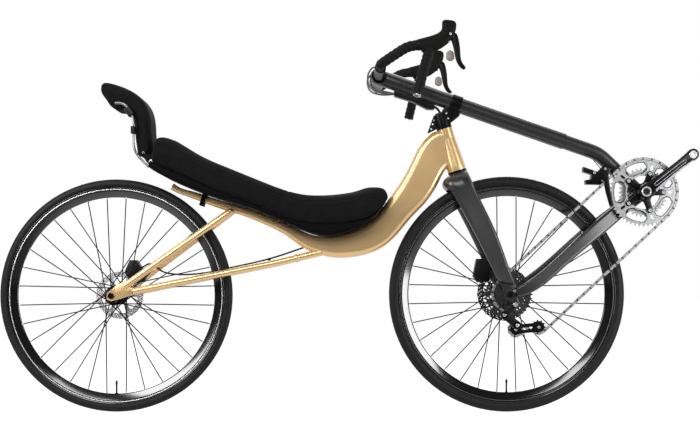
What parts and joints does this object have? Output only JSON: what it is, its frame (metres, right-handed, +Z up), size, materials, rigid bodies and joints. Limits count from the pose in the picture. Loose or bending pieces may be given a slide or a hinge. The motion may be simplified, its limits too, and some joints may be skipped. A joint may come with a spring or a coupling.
{
  "type": "recumbent bicycle",
  "caption": "Front-wheel-drive recumbent bicycle with reclined cushioned seat, headrest, boom-mounted drop handlebar, disc brakes and wire-spoked wheels.",
  "frame": {"origin": "the rider's seat point, above the middle of the main beam's lowest stretch", "axes": "+X forward along the bicycle, +Y to the rider's left, +Z up out of the seat"},
  "size_m": [2.0132, 0.4816, 1.09],
  "materials": {
    "gold_paint": "satin metallic gold",
    "black_paint": "satin black",
    "black_alloy": "black anodised",
    "silver_alloy": "polished",
    "steel": "bright steel",
    "spoke_steel": "bright wire",
    "tyre_rubber": "tread",
    "grip": "grip tape",
    "seat_fabric": "black fabric",
    "shell_plastic": "black composite",
    "small_black": "black plastic",
    "hose_grey": "grey outer casing"
  },
  "bodies": {
    "frame": {"head_tube": "gold_paint", "headset_cups": "black_alloy", "main_beam": "gold_paint", "dropout_right": "gold_paint", "dropout_left": "gold_paint", "seatstay_right": "gold_paint", "seatstay_left": "gold_paint", "chainstay_right": "gold_paint", "chainstay_left": "gold_paint", "rear_axle": "steel", "seat_cushion": "seat_fabric", "seat_shell": "shell_plastic", "headrest_rod": "steel", "headrest_pad": "seat_fabric", "rear_caliper": "small_black", "rear_brake_hose": "small_black"},
    "rear_wheel": {"rear_rim": "black_alloy", "rear_tyre": "tyre_rubber", "rear_spokes": "spoke_steel", "rear_hub": "black_alloy", "rear_rotor": "steel"},
    "steering": {"fork_crown": "black_paint", "fork_leg_right": "black_paint", "fork_leg_left": "black_paint", "front_dropout_right": "black_paint", "front_dropout_left": "black_paint", "front_axle": "steel", "bracket_shell": "black_paint", "front_stay_right": "black_paint", "front_stay_left": "black_paint", "bar_clamp": "silver_alloy", "boom_outer": "black_paint", "boom_inner": "black_paint", "steerer_clamp": "black_alloy", "cable_box": "small_black", "handlebar_tube": "black_alloy", "drop_right": "grip", "drop_left": "grip", "hood_right": "grip", "hood_left": "grip", "brake_lever_right": "black_alloy", "brake_lever_left": "black_alloy", "front_caliper": "small_black", "rear_derailleur": "small_black", "front_derailleur": "black_alloy", "chain": "steel", "bar_hoses": "hose_grey", "steerer_hoses": "small_black"},
    "front_wheel": {"front_rim": "black_alloy", "front_tyre": "tyre_rubber", "front_spokes": "spoke_steel", "front_hub": "black_alloy", "front_rotor": "steel", "cassette": "steel"},
    "crank": {"chainring_big": "silver_alloy", "chainring_small": "silver_alloy", "crank_arm_right": "black_alloy", "crank_arm_left": "black_alloy", "crank_spindle": "steel"}
  },
  "joints": [
    {"name": "rear_wheel_spin", "type": "hinge", "parent": "frame", "child": "rear_wheel", "pos_m": [-0.588, 0, -0.273], "axis": [0, 1, 0], "continuous": true},
    {"name": "steering_turn", "type": "hinge", "parent": "frame", "child": "steering", "pos_m": [0.406, 0, 0.0905], "axis": [-0.289, 0, 0.9573], "range_deg": [-35, 35]},
    {"name": "front_wheel_spin", "type": "hinge", "parent": "steering", "child": "front_wheel", "pos_m": [0.55, 0, -0.269], "axis": [0, 1, 0], "continuous": true},
    {"name": "crank_spin", "type": "hinge", "parent": "steering", "child": "crank", "pos_m": [0.939, 0, 0.025], "axis": [0, 1, 0], "continuous": true}
  ]
}
